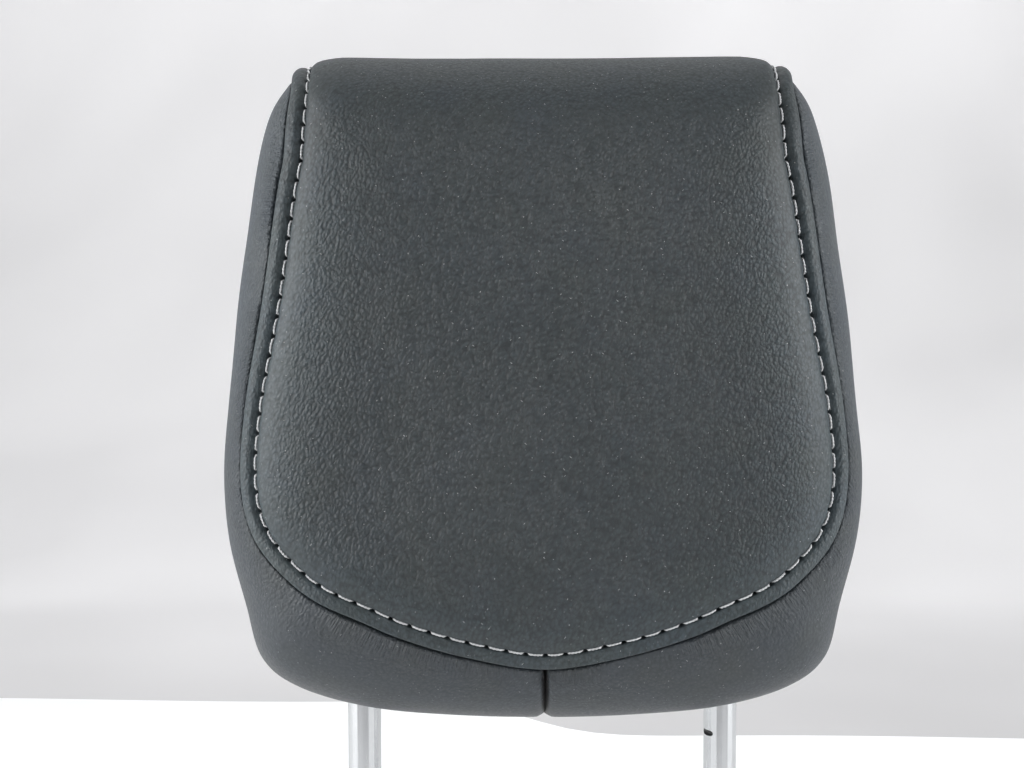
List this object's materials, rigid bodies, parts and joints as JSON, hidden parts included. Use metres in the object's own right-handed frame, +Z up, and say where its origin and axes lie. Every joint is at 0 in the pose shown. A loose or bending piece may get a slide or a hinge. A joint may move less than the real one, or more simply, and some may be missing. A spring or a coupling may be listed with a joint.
{
  "type": "headrest",
  "caption": "Car headrest: stitched leather cushion on two polished steel posts, with a topstitched front panel, wrapped side panels and a short centre seam under the front panel.",
  "frame": {"origin": "midway between the axes of the two posts, at the level where the posts enter the top of the seat back with the headrest fully lowered", "axes": "+X to the right seen from the front, the front face (where the head rests) faces -Y, +Z up along the posts"},
  "size_m": [0.2386, 0.0984, 0.4173],
  "materials": {
    "front_leather": "fine pebbled grain, satin",
    "side_leather": "fine pebbled grain, satin",
    "thread": "twisted bonded thread",
    "foam": "poured polyurethane foam, matt",
    "carrier_plastic": "moulded, fine matt",
    "screw_steel": "zinc plated",
    "post_steel": "satin polished plating",
    "bezel_plastic": "moulded, fine matt",
    "strip_plastic": "extruded, smooth matt"
  },
  "bodies": {
    "root": {"front_panel": "front_leather", "left_side_panel": "side_leather", "right_side_panel": "side_leather", "back_panel": "side_leather", "topstitch_thread": "thread", "foam_bun": "foam", "carrier_front_shell": "carrier_plastic", "carrier_rear_shell": "carrier_plastic", "carrier_screw_1": "screw_steel", "carrier_screw_2": "screw_steel", "carrier_screw_3": "screw_steel", "carrier_screw_4": "screw_steel", "post_frame": "post_steel", "left_post_bezel": "bezel_plastic", "right_post_bezel": "bezel_plastic", "closure_hook_strip": "strip_plastic", "closure_catch_strip": "strip_plastic"}
  },
  "joints": []
}
